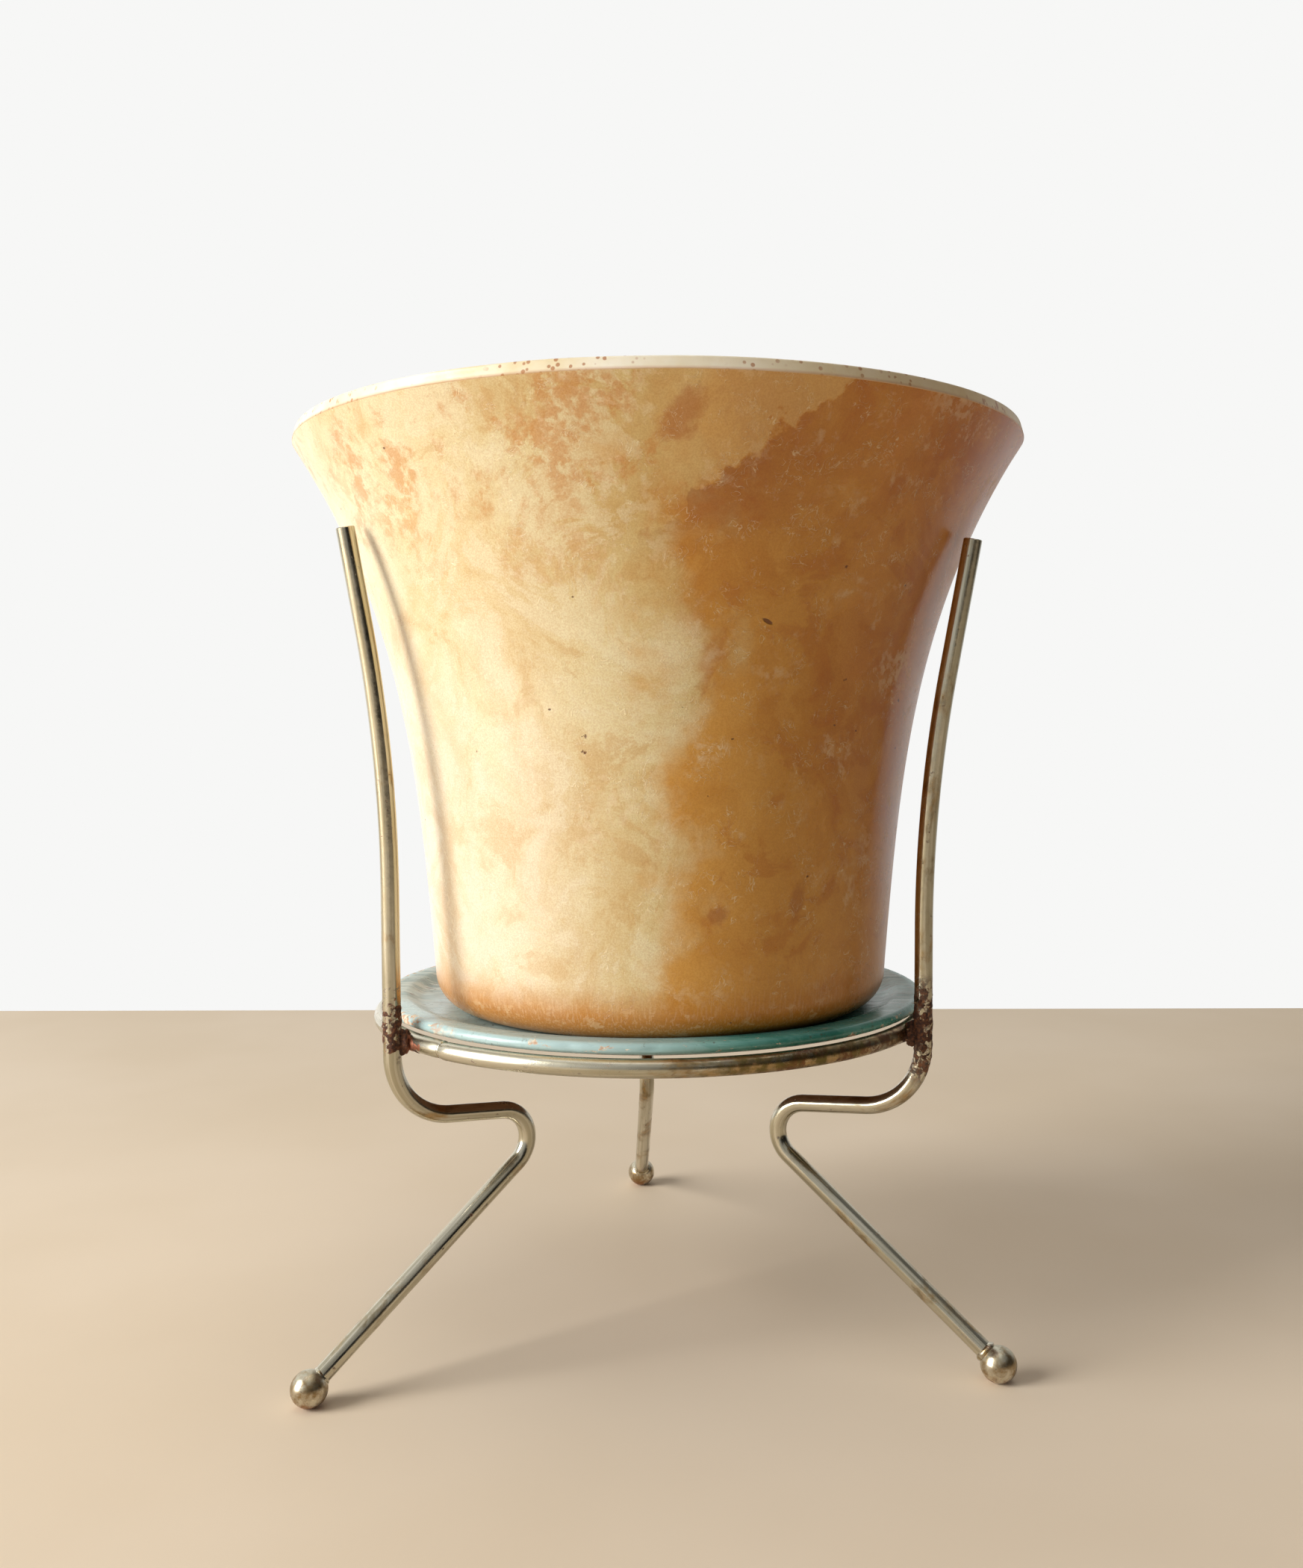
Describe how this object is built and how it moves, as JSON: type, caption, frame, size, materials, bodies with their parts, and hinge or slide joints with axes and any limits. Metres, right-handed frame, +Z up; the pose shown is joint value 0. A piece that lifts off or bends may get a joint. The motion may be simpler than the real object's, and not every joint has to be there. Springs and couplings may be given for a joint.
{
  "type": "planter on wire stand",
  "caption": "Flared bell-shaped resin planter standing on a round painted plate, held by a wire hoop stand with bent rod legs and ball feet.",
  "frame": {"origin": "centre of the bounding box's base, on the surface the ball feet stand on", "axes": "+Z up, +X to the object's right as seen from the front, and the front faces -Y, with two legs in front and one behind"},
  "size_m": [0.2662, 0.2952, 0.3331],
  "materials": {
    "pot_shell": "aged honey-amber glass-fibre resin with a worn semi-gloss gel coat",
    "plate_paint": "worn pale turquoise gloss paint with chips and brown flecks",
    "plated_rod": "plated steel rod, tarnished bronze with small pits",
    "braze_metal": "rough brown and copper-coloured braze with pale flux flakes"
  },
  "bodies": {
    "stand": {"hoop": "plated_rod", "leg_left": "plated_rod", "leg_right": "plated_rod", "leg_back": "plated_rod", "foot_ball_left": "plated_rod", "foot_ball_right": "plated_rod", "foot_ball_back": "plated_rod", "hoop_weld": "braze_metal", "hoop_braze_left": "braze_metal", "hoop_braze_right": "braze_metal", "hoop_braze_back": "braze_metal", "foot_braze_left": "braze_metal", "foot_braze_right": "braze_metal", "foot_braze_back": "braze_metal"},
    "plate": {"plate": "plate_paint"},
    "pot": {"pot": "pot_shell"}
  },
  "joints": [
    {"name": "plate_lift", "type": "slide", "parent": "stand", "child": "plate", "axis": [0, 0, 1], "range_m": [0, 0.18]},
    {"name": "pot_lift", "type": "slide", "parent": "plate", "child": "pot", "axis": [0, 0, 1], "range_m": [0, 0.18]}
  ]
}
